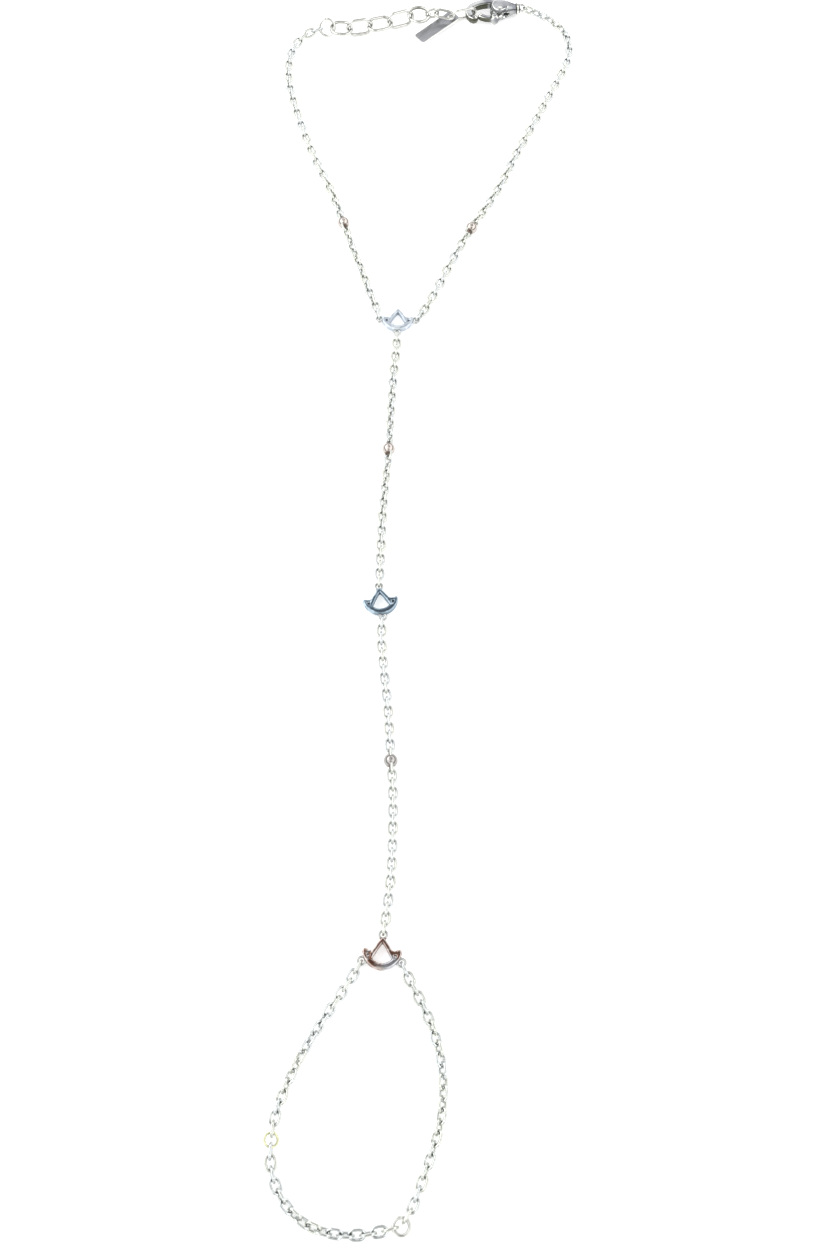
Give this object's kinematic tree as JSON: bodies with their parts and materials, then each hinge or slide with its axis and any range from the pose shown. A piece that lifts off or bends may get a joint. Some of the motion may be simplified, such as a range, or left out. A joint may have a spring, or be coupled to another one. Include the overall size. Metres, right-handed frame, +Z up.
{
  "type": "hand chain bracelet",
  "caption": "Hand chain bracelet of fine steel links: a wrist loop with an extension and a lobster clasp, lotus connectors, round beads and a finger loop, lying fastened.",
  "frame": {"origin": "centre of the bounding box, on the surface it lies on", "axes": "+Y from the finger loop to the wrist loop, +X to the clasp side, +Z up"},
  "size_m": [0.0511, 0.2028, 0.0034],
  "materials": {
    "chain_steel": "polished stainless steel wire, each link soldered",
    "bead_steel": "polished ball with a fine seam",
    "lotus_wrist": "polished casting, cool grey",
    "lotus_hand": "polished casting, steel grey",
    "lotus_finger": "polished casting with a warm cast",
    "link_steel": "polished stainless steel wire",
    "clasp_steel": "polished lobster clasp, dark between its highlights",
    "tag_steel": "satin flat bar, bare",
    "side_ring": "small polished ring with a yellow cast"
  },
  "bodies": {
    "bracelet": {"wrist_chain_left_lower": "chain_steel", "wrist_chain_left_upper": "chain_steel", "wrist_chain_right_lower": "chain_steel", "wrist_chain_right_upper": "chain_steel", "hand_chain_1": "chain_steel", "hand_chain_2": "chain_steel", "hand_chain_3": "chain_steel", "hand_chain_4": "chain_steel", "finger_chain_left_upper": "chain_steel", "finger_chain_left_lower": "chain_steel", "finger_chain_right": "chain_steel", "bead_wrist_left": "bead_steel", "bead_wrist_right": "bead_steel", "bead_hand_upper": "bead_steel", "bead_hand_lower": "bead_steel", "lotus_wrist": "lotus_wrist", "lotus_hand": "lotus_hand", "lotus_finger": "lotus_finger", "jump_ring": "link_steel", "extension_link_1": "link_steel", "extension_link_2": "link_steel", "extension_link_3": "link_steel", "extension_link_4": "link_steel", "adjuster_ring": "link_steel", "connector_link": "link_steel", "extension_link_5": "link_steel", "end_link": "link_steel", "tag": "tag_steel", "clasp_body": "clasp_steel", "clasp_rivet": "clasp_steel", "closing_ring": "link_steel", "side_ring": "side_ring"},
    "clasp_lever": {"clasp_lever": "clasp_steel"}
  },
  "joints": [
    {"name": "clasp_lever_pivot", "type": "hinge", "parent": "bracelet", "child": "clasp_lever", "pos_m": [0.01249, 0.09836, 0.00125], "axis": [0, 0, -1], "range_deg": [0, 25], "stiffness_Nm_per_rad": 0.0001, "springref_deg": -17.19}
  ]
}
